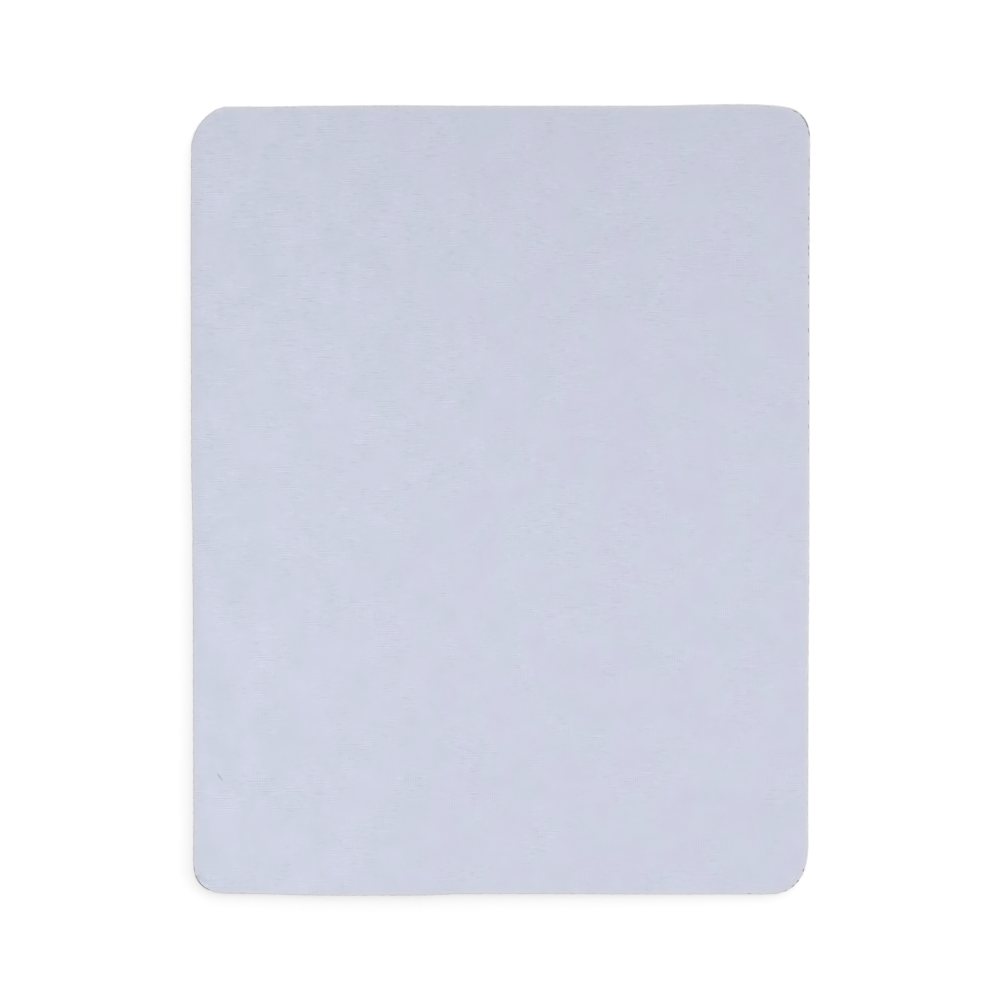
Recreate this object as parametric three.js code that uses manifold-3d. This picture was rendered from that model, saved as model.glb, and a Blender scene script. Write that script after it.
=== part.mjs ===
// A plain mouse pad: a sheet of polyester cloth bonded to foam rubber and cut out with a die. The underside
// of the rubber has shallow grip ribs. Lengths are in millimetres. +X runs across the pad, +Y along it to its
// rear edge and +Z up, and the origin is the middle of the underside.
import * as THREE from "three";
import { mergeGeometries, mergeVertices } from "three/addons/utils/BufferGeometryUtils.js";
import Module from "manifold-3d";

// The pad as it was cut. Each corner is a quarter of a superellipse that takes up some of both its sides, and
// a higher power makes it squarer. The corners differ, because the foam shifts a little under the die.
const padWidth = 180;
const padLength = 230;
const rearLeftAcross = 10.5;
const rearLeftAlong = 12.2;
const rearRightAcross = 17.5;
const rearRightAlong = 8.9;
const frontLeftAcross = 12.5;
const frontLeftAlong = 10;
const frontRightAcross = 13.5;
const frontRightAlong = 16.2;
const roundPower = 1.85;
const squarePower = 2.8;
const cornerSteps = 14;

// The foam rubber base. Its cut wall draws in at half height, as foam does when the die lets go of it.
const rubberThickness = 2.4;
const wallHollow = 0.15;
const wallSteps = 4;

// The grip: grooves that run from side to side across the underside, with a plain land left at each end.
const groovePitch = 2.5;
const grooveMouth = 1.2;
const grooveFloor = 0.8;
const grooveDepth = 0.3;
const plainEnd = 3;
const grooveOverrun = 1;

// The hot-melt film that bonds the cloth to the rubber. It stops a little short of the cut edge.
const filmThickness = 0.1;
const filmSetBack = 0.2;

// The cloth. It has shrunk back from the rubber along the right edge and at the three squarer corners.
const clothThickness = 0.5;
const clothEdgeRoll = 0.3;
const rollSteps = 3;
const rightShrink = 0.3;
const cornerShrink = 1.4;

const clothMaterial = new THREE.MeshStandardMaterial({ color: 0xcdd1e0, roughness: 0.95, metalness: 0 });
const filmMaterial = new THREE.MeshStandardMaterial({ color: 0xe2e1da, roughness: 0.45, metalness: 0 });
const rubberMaterial = new THREE.MeshStandardMaterial({ color: 0x1d1d1f, roughness: 0.85, metalness: 0 });

// The edge that the die cut in the rubber: where each side lies, and how far each corner takes up its sides.
const rubberEdge = {
  left: -padWidth / 2,
  right: padWidth / 2,
  front: -padLength / 2,
  rear: padLength / 2,
  frontRight: { across: frontRightAcross, along: frontRightAlong, power: squarePower },
  rearRight: { across: rearRightAcross, along: rearRightAlong, power: squarePower },
  rearLeft: { across: rearLeftAcross, along: rearLeftAlong, power: roundPower },
  frontLeft: { across: frontLeftAcross, along: frontLeftAlong, power: squarePower },
};

function shrunkCorner({ across, along, power }) {
  return { across: across + cornerShrink, along: along + cornerShrink, power };
}

// The cloth's edge follows the rubber's, but for the shrinkage.
const clothEdge = {
  ...rubberEdge,
  right: rubberEdge.right - rightShrink,
  frontRight: shrunkCorner(rubberEdge.frontRight),
  rearRight: shrunkCorner(rubberEdge.rearRight),
  frontLeft: shrunkCorner(rubberEdge.frontLeft),
};

// A quarter turn of one corner, drawn in by an inset, from a starting angle round the superellipse's centre.
function cornerPoints(centreX, centreY, corner, start, inset) {
  const points = [];
  for (let step = 0; step <= cornerSteps; step += 1) {
    const angle = start + ((Math.PI / 2) * step) / cornerSteps;
    const across = Math.abs(Math.cos(angle)) / (corner.across - inset);
    const along = Math.abs(Math.sin(angle)) / (corner.along - inset);
    const radius = (across ** corner.power + along ** corner.power) ** (-1 / corner.power);
    points.push(new THREE.Vector2(centreX + radius * Math.cos(angle), centreY + radius * Math.sin(angle)));
  }
  return points;
}

// The points of an edge that is drawn in by an inset, counterclockwise from the front right corner.
function outline({ left, right, front, rear, frontRight, rearRight, rearLeft, frontLeft }, inset) {
  const quarter = Math.PI / 2;
  return [
    ...cornerPoints(right - frontRight.across, front + frontRight.along, frontRight, -quarter, inset),
    ...cornerPoints(right - rearRight.across, rear - rearRight.along, rearRight, 0, inset),
    ...cornerPoints(left + rearLeft.across, rear - rearLeft.along, rearLeft, quarter, inset),
    ...cornerPoints(left + frontLeft.across, front + frontLeft.along, frontLeft, 2 * quarter, inset),
  ];
}

// A closed sheet: the edge's outline at each height and inset of the profile, from its underside to its top.
function sheetGeometry(edge, profile) {
  const rings = profile.map(({ inset, height }) => outline(edge, inset).map(({ x, y }) => [x, y, height]));
  const count = rings[0].length;
  const indices = [];
  for (let level = 1; level < rings.length; level += 1) {
    for (let i = 0; i < count; i += 1) {
      const next = (i + 1) % count;
      const below = (level - 1) * count;
      const above = level * count;
      indices.push(below + i, below + next, above + next);
      indices.push(below + i, above + next, above + i);
    }
  }
  const last = (rings.length - 1) * count;
  for (const [a, b, c] of THREE.ShapeUtils.triangulateShape(outline(edge, 0), [])) {
    indices.push(c, b, a);
    indices.push(last + a, last + b, last + c);
  }
  const geometry = new THREE.BufferGeometry();
  geometry.setAttribute("position", new THREE.Float32BufferAttribute(rings.flat(2), 3));
  geometry.setIndex(indices);
  return geometry;
}

// The cut wall of the rubber is half a sine wave: it meets both faces at the outline and is hollow halfway.
function rubberProfile() {
  const profile = [];
  for (let step = 0; step <= wallSteps; step += 1) {
    const share = step / wallSteps;
    profile.push({ inset: wallHollow * Math.sin(Math.PI * share), height: rubberThickness * share });
  }
  return profile;
}

// The cloth's edge stands straight, then rolls over into the top in a quarter circle.
function clothProfile() {
  const profile = [{ inset: 0, height: 0 }];
  for (let step = 0; step <= rollSteps; step += 1) {
    const angle = ((Math.PI / 2) * step) / rollSteps;
    const inset = clothEdgeRoll * (1 - Math.cos(angle));
    const height = clothThickness - clothEdgeRoll * (1 - Math.sin(angle));
    profile.push({ inset, height });
  }
  return profile;
}

function filmProfile() {
  return [
    { inset: filmSetBack, height: 0 },
    { inset: filmSetBack, height: filmThickness },
  ];
}

// One groove as a bar that overruns the pad on both sides and below. Its section narrows towards its floor.
function grooveBar(middle) {
  const section = new THREE.Shape();
  section.moveTo(-grooveMouth / 2, grooveOverrun);
  section.lineTo(-grooveMouth / 2, 0);
  section.lineTo(-grooveFloor / 2, -grooveDepth);
  section.lineTo(grooveFloor / 2, -grooveDepth);
  section.lineTo(grooveMouth / 2, 0);
  section.lineTo(grooveMouth / 2, grooveOverrun);
  section.closePath();
  const length = padWidth + 2 * grooveOverrun;
  const bar = new THREE.ExtrudeGeometry(section, { depth: length, bevelEnabled: false });
  // The section's x becomes the pad's y and its y points down, so that the bar runs along the pad's x.
  const across = new THREE.Matrix4().makeBasis(
    new THREE.Vector3(0, 1, 0),
    new THREE.Vector3(0, 0, -1),
    new THREE.Vector3(-1, 0, 0),
  );
  bar.applyMatrix4(across);
  return bar.translate(length / 2, middle, 0);
}

// All the grooves, in pairs on both sides of a land that lies along the middle of the underside.
function grooveBars() {
  const bars = [];
  const reach = padLength / 2 - plainEnd - grooveMouth / 2;
  for (let middle = groovePitch / 2; middle <= reach; middle += groovePitch) {
    bars.push(grooveBar(middle), grooveBar(-middle));
  }
  return mergeGeometries(bars);
}

const wasm = await Module();
wasm.setup();

function solidOf(geometry) {
  const bare = geometry.clone();
  bare.deleteAttribute("normal");
  bare.deleteAttribute("uv");
  const merged = mergeVertices(bare);
  const vertProperties = new Float32Array(merged.attributes.position.array);
  const triVerts = new Uint32Array(merged.index.array);
  return new wasm.Manifold(new wasm.Mesh({ numProp: 3, vertProperties, triVerts }));
}

function geometryOf(solid) {
  const mesh = solid.getMesh();
  const geometry = new THREE.BufferGeometry();
  geometry.setAttribute("position", new THREE.BufferAttribute(mesh.vertProperties, mesh.numProp));
  geometry.setIndex(new THREE.BufferAttribute(mesh.triVerts, 1));
  geometry.computeVertexNormals();
  return geometry;
}

function rubberBase() {
  const blank = solidOf(sheetGeometry(rubberEdge, rubberProfile()));
  const ribbed = blank.subtract(solidOf(grooveBars()));
  return new THREE.Mesh(geometryOf(ribbed), rubberMaterial);
}

function bondFilm() {
  return new THREE.Mesh(sheetGeometry(clothEdge, filmProfile()), filmMaterial);
}

function topCloth() {
  return new THREE.Mesh(sheetGeometry(clothEdge, clothProfile()), clothMaterial);
}

// The layers lie on each other, from the rubber up.
const group = new THREE.Group();
let level = 0;
for (const [name, layer, thickness] of [
  ["rubber_base", rubberBase(), rubberThickness],
  ["bond_film", bondFilm(), filmThickness],
  ["top_cloth", topCloth(), clothThickness],
]) {
  layer.name = name;
  layer.position.z = level;
  group.add(layer);
  level += thickness;
}

export default group;
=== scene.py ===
"""A plain cloth mouse pad on a white table, seen from straight above.

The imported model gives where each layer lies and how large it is. Every layer is made again here as one
closed plate: a face worked out row by row, a rim carried round its edge, and a plain back. The cloth has
the fine ribs of its weave and loose threads at its cut edge, the foam rubber has its grip ribs and its
cut wall, and the film between them is squeezed a little unevenly. All lengths are in metres.
"""

import logging
import math
from collections.abc import Callable
from dataclasses import dataclass, field, replace
from enum import Enum

import bpy
import numpy as np
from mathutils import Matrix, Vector


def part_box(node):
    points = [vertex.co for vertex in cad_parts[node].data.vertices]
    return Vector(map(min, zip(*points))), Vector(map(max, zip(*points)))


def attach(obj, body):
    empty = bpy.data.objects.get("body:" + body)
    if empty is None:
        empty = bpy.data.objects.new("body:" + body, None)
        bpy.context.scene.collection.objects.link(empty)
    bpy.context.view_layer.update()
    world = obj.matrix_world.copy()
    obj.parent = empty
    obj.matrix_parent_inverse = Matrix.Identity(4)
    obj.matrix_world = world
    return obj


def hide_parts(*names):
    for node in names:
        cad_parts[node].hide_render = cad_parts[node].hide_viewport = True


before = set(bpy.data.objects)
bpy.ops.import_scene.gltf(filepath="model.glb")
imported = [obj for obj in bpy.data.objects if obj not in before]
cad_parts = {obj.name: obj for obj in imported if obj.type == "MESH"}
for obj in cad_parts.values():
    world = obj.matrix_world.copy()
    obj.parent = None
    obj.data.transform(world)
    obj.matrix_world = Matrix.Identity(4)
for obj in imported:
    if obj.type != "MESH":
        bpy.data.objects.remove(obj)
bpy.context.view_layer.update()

Array = np.ndarray
Colour = tuple[float, float, float]
Pair = tuple[float, float]
Triple = tuple[float, float, float]

log = logging.getLogger("mouse_pad")

MM = 0.001
TURN = 2 * math.pi
BODY = "root"

RUBBER_LOW, RUBBER_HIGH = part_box("rubber_base")
FILM_LOW, FILM_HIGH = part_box("bond_film")
CLOTH_LOW, CLOTH_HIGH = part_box("top_cloth")

# How many rows of a face crowd towards its front and its rear edge, and how far in they reach
CLOSE_ROWS = 12
CLOSE_DEPTH = 1.2 * MM


def smooth(share: Array | float) -> Array:
    """Rises from 0 to 1 without a kink: three times the share squared, less twice its cube.

    Args:
        share: how far along the rise a place is, from 0 to 1.

    Returns:
        The height of the rise there.
    """
    share = np.clip(share, 0, 1)
    return share * share * (3 - 2 * share)


@dataclass(frozen=True)
class Waver:
    """The unevenness of a cut edge: a sum of sines with a whole number of waves round the edge.

    Attributes:
        depth: how far in and out most of the edge stays.
        fewest: the least number of waves round the edge.
        most: the greatest number of waves round the edge.
        seed: picks the waves and their starts.
        waves: how many sines are added up.
    """

    depth: float
    fewest: int
    most: int
    seed: int
    waves: int = 24

    def at(self, angle: Array) -> Array:
        """Works out how far out the edge lies.

        Args:
            angle: places round the edge, from 0 to a full turn.

        Returns:
            How far out the edge lies at each place; less than 0 is inwards.
        """
        pick = np.random.default_rng(self.seed)
        turns = pick.integers(self.fewest, self.most + 1, self.waves)
        starts = pick.uniform(0, TURN, self.waves)
        return self.depth * (np.sin(angle[..., None] * turns + starts).sum(-1) / math.sqrt(self.waves))


def rolling(x: Array, y: Array, wavelength: float, seed: int, waves: int = 12) -> Array:
    """Makes uneven ground: a sum of plane waves that run in all directions.

    Args:
        x: places across the pad.
        y: places along the pad.
        wavelength: the middle of the waves' lengths, which are from two thirds to one and a half times it.
        seed: picks the waves' directions, lengths and starts.
        waves: how many waves are added up.

    Returns:
        Values about 0, most of them no further from it than 1.
    """
    pick = np.random.default_rng(seed)
    direction = pick.uniform(0, TURN, waves)
    number = TURN / (wavelength * pick.uniform(2 / 3, 3 / 2, waves))
    starts = pick.uniform(0, TURN, waves)
    total = np.zeros_like(x)
    for heading, rate, start in zip(direction, number, starts):
        total += np.sin(rate * (x * math.cos(heading) + y * math.sin(heading)) + start)
    return total / math.sqrt(waves)


def add_object(name: str, data: bpy.types.ID) -> bpy.types.Object:
    """Adds an object to the scene, at the origin.

    Args:
        name: its name.
        data: its mesh, its lamp or its camera.

    Returns:
        The object.
    """
    made = bpy.data.objects.new(name, data)
    bpy.context.scene.collection.objects.link(made)
    return made


# The outline of the cut


@dataclass(frozen=True)
class Corner:
    """A corner of the cut, which is a quarter of a superellipse.

    Attributes:
        across: how much of the front or rear side it takes up.
        along: how much of the left or right side it takes up.
        power: how square it is.
    """

    across: float
    along: float
    power: float

    def taken(self, depth: Array) -> Array:
        """Says how far the corner draws the edge in from the side of the pad.

        The share of the corner that is left across, raised to the power, and the share that is passed along,
        raised to the power, add up to 1.

        Args:
            depth: distances past the corner's start towards the end of the pad.

        Returns:
            How far the edge lies inside the line of the side.
        """
        share = np.clip(depth / self.along, 0, 1)
        return self.across * (1 - (1 - share**self.power) ** (1 / self.power))

    def inset(self, by: float) -> "Corner":
        """Returns the corner of an edge that lies further in."""
        return replace(self, across=self.across - by, along=self.along - by)


@dataclass(frozen=True)
class Cut:
    """An outline with straight sides and four corners that differ.

    Attributes:
        left: where the left side lies.
        right: where the right side lies.
        front: where the front side lies.
        rear: where the rear side lies.
        front_left: the corner between the front and the left side.
        front_right: the corner between the front and the right side.
        rear_left: the corner between the rear and the left side.
        rear_right: the corner between the rear and the right side.
    """

    left: float
    right: float
    front: float
    rear: float
    front_left: Corner
    front_right: Corner
    rear_left: Corner
    rear_right: Corner

    def inset(self, by: float) -> "Cut":
        """Draws the outline in.

        Args:
            by: how far in the new outline lies.

        Returns:
            The outline that lies further in.
        """
        return Cut(
            self.left + by,
            self.right - by,
            self.front + by,
            self.rear - by,
            self.front_left.inset(by),
            self.front_right.inset(by),
            self.rear_left.inset(by),
            self.rear_right.inset(by),
        )

    def ends(self, y: Array) -> tuple[Array, Array]:
        """Finds where rows across the pad meet its left and its right edge.

        Args:
            y: the place of each row along the pad.

        Returns:
            Where each row starts on the left and where it ends on the right.
        """
        left = self.left + self.front_left.taken(self.front + self.front_left.along - y)
        left = left + self.rear_left.taken(y - self.rear + self.rear_left.along)
        right = self.right - self.front_right.taken(self.front + self.front_right.along - y)
        right = right - self.rear_right.taken(y - self.rear + self.rear_right.along)
        return left, right


@dataclass(frozen=True)
class Swell:
    """A stretch of a side where the cut runs outside the straight line, or inside it.

    Attributes:
        start: where the stretch starts.
        stop: where it ends.
        rise: the length over which it rises from its start.
        fall: the length over which it falls to its end.
        out: how far out it reaches; less than 0 is inwards.
    """

    start: float
    stop: float
    rise: float
    fall: float
    out: float

    def at(self, place: Array) -> Array:
        """Returns how far out the cut lies at places along the side: one smooth rise times another."""
        return self.out * smooth((place - self.start) / self.rise) * smooth((self.stop - place) / self.fall)


@dataclass(frozen=True)
class Drift:
    """How far each side strays from its straight line, as soft foam does under a die.

    Attributes:
        sides: the straight outline that strays.
        left: what the left side does along its length.
        right: what the right side does along its length.
        front: what the front side does along its width.
        rear: what the rear side does along its width.
        reach: how far inside the edge the layer is moved along with it.
    """

    sides: Cut
    left: tuple[Swell, ...] = ()
    right: tuple[Swell, ...] = ()
    front: tuple[Swell, ...] = ()
    rear: tuple[Swell, ...] = ()
    reach: float = 8 * MM

    def move(self, x: Array, y: Array) -> tuple[Array, Array]:
        """Moves points of a layer with its sides.

        A point takes the whole of a side's stray at that side and less and less of it further in.

        Args:
            x: places across the pad.
            y: places along the pad.

        Returns:
            The moved places across and along the pad.
        """

        def strayed(features: tuple[Swell, ...], place: Array, inside: Array) -> Array:
            """Returns the stray of one side at a place, faded with the distance inside that side."""
            near = smooth(1 - inside / self.reach)
            return sum((feature.at(place) for feature in features), np.zeros_like(place)) * near

        across = strayed(self.right, y, self.sides.right - x) - strayed(self.left, y, x - self.sides.left)
        along = strayed(self.rear, x, self.sides.rear - y) - strayed(self.front, x, y - self.sides.front)
        return x + across, y + along


# The die's outline, from the box of the rubber. The corners are within 0.3 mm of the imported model's.
DIE = Cut(
    left=RUBBER_LOW.x,
    right=RUBBER_HIGH.x,
    front=RUBBER_LOW.y,
    rear=RUBBER_HIGH.y,
    front_left=Corner(across=12.2 * MM, along=10.3 * MM, power=2.9),
    front_right=Corner(across=12.5 * MM, along=16.7 * MM, power=2.7),
    rear_left=Corner(across=10 * MM, along=11.7 * MM, power=1.7),
    rear_right=Corner(across=18.5 * MM, along=10 * MM, power=3.3),
)

# The left side is a faint S, the rear and front sides have shallow waves, and the rear right corner is
# a little fuller than its arc.
DIE_DRIFT = Drift(
    sides=DIE,
    left=(
        Swell(start=-8 * MM, stop=125 * MM, rise=20 * MM, fall=55 * MM, out=0.32 * MM),
        Swell(start=-108 * MM, stop=-20 * MM, rise=15 * MM, fall=10 * MM, out=-0.1 * MM),
    ),
    right=(
        Swell(start=-108 * MM, stop=-20 * MM, rise=15 * MM, fall=30 * MM, out=-0.14 * MM),
        Swell(start=25 * MM, stop=105 * MM, rise=25 * MM, fall=25 * MM, out=-0.08 * MM),
        Swell(start=107 * MM, stop=115 * MM, rise=3.5 * MM, fall=3.5 * MM, out=-0.12 * MM),
    ),
    front=(
        Swell(start=-95 * MM, stop=-62 * MM, rise=8 * MM, fall=14 * MM, out=-0.17 * MM),
        Swell(start=-70 * MM, stop=-10 * MM, rise=18 * MM, fall=16 * MM, out=0.33 * MM),
        Swell(start=-25 * MM, stop=40 * MM, rise=15 * MM, fall=20 * MM, out=-0.1 * MM),
    ),
    rear=(
        Swell(start=-100 * MM, stop=-52 * MM, rise=5 * MM, fall=18 * MM, out=-0.25 * MM),
        Swell(start=-52 * MM, stop=-10 * MM, rise=18 * MM, fall=20 * MM, out=0.16 * MM),
        Swell(start=42 * MM, stop=99 * MM, rise=26 * MM, fall=32 * MM, out=0.46 * MM),
        Swell(start=82 * MM, stop=90 * MM, rise=3 * MM, fall=3.5 * MM, out=0.3 * MM),
    ),
)


@dataclass(frozen=True)
class Nick:
    """A place on the edge where the cloth has frayed or shrunk back, so that the rubber under it shows.

    Attributes:
        across: the place of its middle across the pad.
        along: the place of its middle along the pad.
        reach: how far it reaches to either side of its middle.
        depth: how far back the edge lies in its middle half.
    """

    across: float
    along: float
    reach: float
    depth: float

    def at(self, edge: Array) -> Array:
        """Returns how far back each point of the edge lies: a smooth rise over half of the reach."""
        away = np.hypot(edge[:, 0] - self.across, edge[:, 1] - self.along)
        return self.depth * smooth(2 * (1 - away / self.reach))


def nick_row(start: float, pitch: float, count: int, reach: float, depth: float) -> tuple[Nick, ...]:
    """Lays out even nicks along the right side, from the rear to the front.

    Args:
        start: the place of the first one along the pad.
        pitch: the distance from one to the next.
        count: how many there are.
        reach: how far each reaches to either side of its middle.
        depth: how deep each is.

    Returns:
        The nicks.
    """
    inside = 0.3 * MM
    across = RUBBER_HIGH.x - inside
    return tuple(Nick(across, start - number * pitch, reach, depth) for number in range(count))


NICKS = (
    # Along the rear half of the right side, first in pairs and then single ones
    *nick_row(start=99.6 * MM, pitch=8.5 * MM, count=5, reach=0.8 * MM, depth=0.26 * MM),
    *nick_row(start=98.1 * MM, pitch=8.6 * MM, count=5, reach=0.7 * MM, depth=0.22 * MM),
    *nick_row(start=57.1 * MM, pitch=7 * MM, count=7, reach=0.9 * MM, depth=0.19 * MM),
    # Along the rear and the front side, near the right corners
    Nick(across=74.8 * MM, along=115 * MM, reach=0.6 * MM, depth=0.16 * MM),
    Nick(across=77.6 * MM, along=114.9 * MM, reach=1.4 * MM, depth=0.12 * MM),
    Nick(across=72.7 * MM, along=-114.7 * MM, reach=0.8 * MM, depth=0.3 * MM),
    # Round the rear right corner, where one long nick holds five deeper ones
    Nick(across=88 * MM, along=112 * MM, reach=5.5 * MM, depth=0.1 * MM),
    Nick(across=85.7 * MM, along=114.1 * MM, reach=0.9 * MM, depth=0.36 * MM),
    Nick(across=87.7 * MM, along=112.1 * MM, reach=0.9 * MM, depth=0.34 * MM),
    Nick(across=88.6 * MM, along=110.7 * MM, reach=0.7 * MM, depth=0.36 * MM),
    Nick(across=89.1 * MM, along=109.5 * MM, reach=0.8 * MM, depth=0.42 * MM),
    Nick(across=89.6 * MM, along=107.3 * MM, reach=0.9 * MM, depth=0.3 * MM),
    # Single specks round the front right corner
    Nick(across=88.3 * MM, along=-107.8 * MM, reach=0.7 * MM, depth=0.42 * MM),
    Nick(across=86.7 * MM, along=-110.9 * MM, reach=0.7 * MM, depth=0.42 * MM),
    Nick(across=85.5 * MM, along=-112.3 * MM, reach=0.7 * MM, depth=0.4 * MM),
    Nick(across=83.4 * MM, along=-113.5 * MM, reach=0.6 * MM, depth=0.4 * MM),
    # Round the front left corner
    Nick(across=-89.7 * MM, along=-107.4 * MM, reach=1.6 * MM, depth=0.17 * MM),
    Nick(across=-89 * MM, along=-109.6 * MM, reach=0.8 * MM, depth=0.27 * MM),
    Nick(across=-87.4 * MM, along=-111.9 * MM, reach=3.4 * MM, depth=0.33 * MM),
    Nick(across=-86.7 * MM, along=-112.4 * MM, reach=1.7 * MM, depth=0.42 * MM),
)


# Plates


class Looking(Enum):
    """Which way the worked face of a plate looks."""

    UP = 1
    DOWN = -1


@dataclass(frozen=True)
class Ring:
    """One turn of a plate's rim.

    Attributes:
        out: how far outside the edge of the face it lies.
        height: how high it lies.
        rough: what share of the rim's unevenness it has.
        follow: what share of the face's relief at the edge it follows.
    """

    out: float
    height: float
    rough: float = 1.0
    follow: float = 0.0


@dataclass(frozen=True)
class Plate:
    """A closed flat piece: a worked face, a rim and a plain back.

    Attributes:
        cut: the outline of the worked face.
        drift: how the sides stray from it.
        level: the height of the worked face.
        relief: how far the face's surface lies above that level at places across and along.
        rows: where the rows of the face lie, from the front to the rear.
        columns: how many cells each row has.
        splits: how many short steps each cell has along the front and rear edges.
        rings: the turns of the rim, from the face to the back.
        looking: which way the worked face looks.
        wavers: how the rim strays in and out.
        inset: how far the face's outline lies inside the outermost edge.
        nicks: the places where the rim lies further back.
        crease: the angle between two cells past which the edge between them is sharp.
    """

    cut: Cut
    drift: Drift
    level: float
    relief: Callable[[Array, Array], Array]
    rows: Array
    columns: int
    splits: int
    rings: tuple[Ring, ...]
    looking: Looking
    wavers: tuple[Waver, ...]
    inset: float = 0.0
    nicks: tuple[Nick, ...] = ()
    crease: float = math.radians(50)

    def face(self, y: Array, cells: int) -> tuple[Array, Array]:
        """Works out one or more rows of the face.

        A place on the face is set by its row and by its share of the way from the left end of the row to the
        right end, and is then moved with the sides. Its height is the level of the face and the relief there.

        Args:
            y: where the rows lie.
            cells: how many cells a row has.

        Returns:
            The points as rows by columns by three, and how far inside the outermost edge each of them lies.
        """
        left, right = self.cut.ends(y)
        share = np.linspace(0, 1, cells + 1)
        x = left[:, None] + (right - left)[:, None] * share
        along = np.repeat(y[:, None], cells + 1, axis=1)
        step = 0.01 * MM
        ahead, behind = self.cut.ends(y + step), self.cut.ends(y - step)
        steep = [1 / np.hypot(1, (high - low) / (2 * step))[:, None] for high, low in zip(ahead, behind)]
        beside = np.minimum((x - left[:, None]) * steep[0], (right[:, None] - x) * steep[1])
        ends = np.minimum(along - self.cut.front, self.cut.rear - along)
        moved_x, moved_y = self.drift.move(x, along)
        height = self.level + self.relief(moved_x, moved_y)
        return np.stack([moved_x, moved_y, height], axis=-1), np.minimum(beside, ends) + self.inset

    def fans(self, edge: Array, row: Array) -> Array:
        """Joins a row to the finer front or rear edge with triangles.

        The first half of the steps in a cell goes to the cell's first corner, the second half to its second
        corner, and one triangle stands between them.

        Args:
            edge: the points' numbers along the fine edge, with the row on its left hand.
            row: the points' numbers along the row, in the same direction.

        Returns:
            The triangles as numbers of points.
        """
        start = edge[:-1].reshape(-1, self.splits)
        stop = edge[1:].reshape(-1, self.splits)
        half = self.splits // 2
        first = np.repeat(row[:-1, None], half, axis=1)
        second = np.repeat(row[1:, None], self.splits - half, axis=1)
        near = np.stack([start[:, :half], stop[:, :half], first], axis=-1)
        far = np.stack([start[:, half:], stop[:, half:], second], axis=-1)
        middle = np.stack([start[:, half], row[1:], row[:-1]], axis=-1)
        return np.concatenate([near.reshape(-1, 3), far.reshape(-1, 3), middle])

    def rim(self, edge: Array) -> Array:
        """Carries the rim's profile along the edge of the face.

        At each point of the edge a ring lies so far along the edge's outward normal, and so high, as its own
        numbers say, with the unevenness and the nicks added.

        Args:
            edge: the points of the face's edge, once round it.

        Returns:
            The points as rings by points by three.
        """
        ahead = np.roll(edge, -1, axis=0) - np.roll(edge, 1, axis=0)
        normal = np.stack([ahead[:, 1], -ahead[:, 0]], axis=-1)
        normal /= np.linalg.norm(normal, axis=1, keepdims=True)
        steps = np.linalg.norm(np.roll(edge, -1, axis=0) - edge, axis=1)
        angle = TURN * np.concatenate([[0], np.cumsum(steps)[:-1]]) / steps.sum()
        stray = sum(waver.at(angle) for waver in self.wavers) - sum(nick.at(edge) for nick in self.nicks)
        turns = []
        for ring in self.rings:
            out = ring.out + ring.rough * stray
            height = ring.height + ring.follow * (edge[:, 2] - self.level)
            turns.append(np.column_stack([edge[:, :2] + normal * out[:, None], height]))
        return np.stack(turns)

    def back(self, last: Array, rows: int, steps: int) -> tuple[Array, list[Array]]:
        """Closes the back: strips from side to side, and one large face at each end for the close rows.

        Args:
            last: the points' numbers along the last ring, from the front left corner.
            rows: how many rows the face has between its front and its rear edge.
            steps: how many steps these two edges have.

        Returns:
            The strips and the two large faces as numbers of points.
        """
        skip = min(CLOSE_ROWS, rows // 4)
        kept = slice(skip, rows - skip)
        right = last[steps + 1 : steps + 1 + rows]
        left = last[-rows:][::-1]
        strips = np.stack([left[kept][:-1], left[kept][1:], right[kept][1:], right[kept][:-1]], axis=-1)
        front = np.concatenate([right[skip::-1], last[steps::-1], left[: skip + 1]])
        rear_low = steps + 1 + rows
        far_left, far_right = left[rows - skip - 1 :], right[rows - skip - 1 :][::-1]
        rear = np.concatenate([far_left, last[rear_low : rear_low + steps + 1][::-1], far_right])
        return strips, [front, rear]

    def build(self, name: str) -> bpy.types.Object:
        """Makes the plate's mesh and its object.

        Args:
            name: the name of the piece.

        Returns:
            The object, at the origin, with an attribute named inward that holds the distance from the edge.
        """
        inner, inner_in = self.face(self.rows[1:-1], self.columns)
        fine = self.columns * self.splits
        ends, ends_in = self.face(self.rows[[0, -1]], fine)
        grid = np.arange(inner[..., 0].size).reshape(inner.shape[:2])
        front = grid.size + np.arange(fine + 1)
        rear = front + fine + 1
        points = np.concatenate([inner.reshape(-1, 3), *ends])
        loop = np.concatenate([front, grid[:, -1], rear[::-1], grid[::-1, 0]])
        rings = self.rim(points[loop])
        rings_in = [np.full(len(loop), self.inset - ring.out) for ring in self.rings]

        cells = np.stack([grid[:-1, :-1], grid[:-1, 1:], grid[1:, 1:], grid[1:, :-1]], axis=-1)
        quads = [cells.reshape(-1, 4)]
        triangles = np.concatenate([self.fans(front, grid[0]), self.fans(rear[::-1], grid[-1, ::-1])])
        below = loop
        for above in len(points) + np.arange(rings[..., 0].size).reshape(rings.shape[:2]):
            quads.append(np.stack([below, above, np.roll(above, -1), np.roll(below, -1)], axis=-1))
            below = above
        strips, large = self.back(below, len(grid), fine)
        faces = np.concatenate([*quads, strips]).tolist() + triangles.tolist()
        faces += [corners.tolist() for corners in large]
        if self.looking is Looking.DOWN:
            faces = [corners[::-1] for corners in faces]
        mesh = bpy.data.meshes.new(name)
        mesh.from_pydata(np.concatenate([points, *rings]), [], faces)
        mesh.validate()
        mesh.shade_smooth()
        mesh.set_sharp_from_angle(angle=self.crease)
        attribute = mesh.attributes.new("inward", "FLOAT", "POINT")
        inward = np.concatenate([inner_in.ravel(), *ends_in, *rings_in])
        attribute.data.foreach_set("value", inward.astype(np.float32))
        return add_object(name, mesh)


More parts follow.
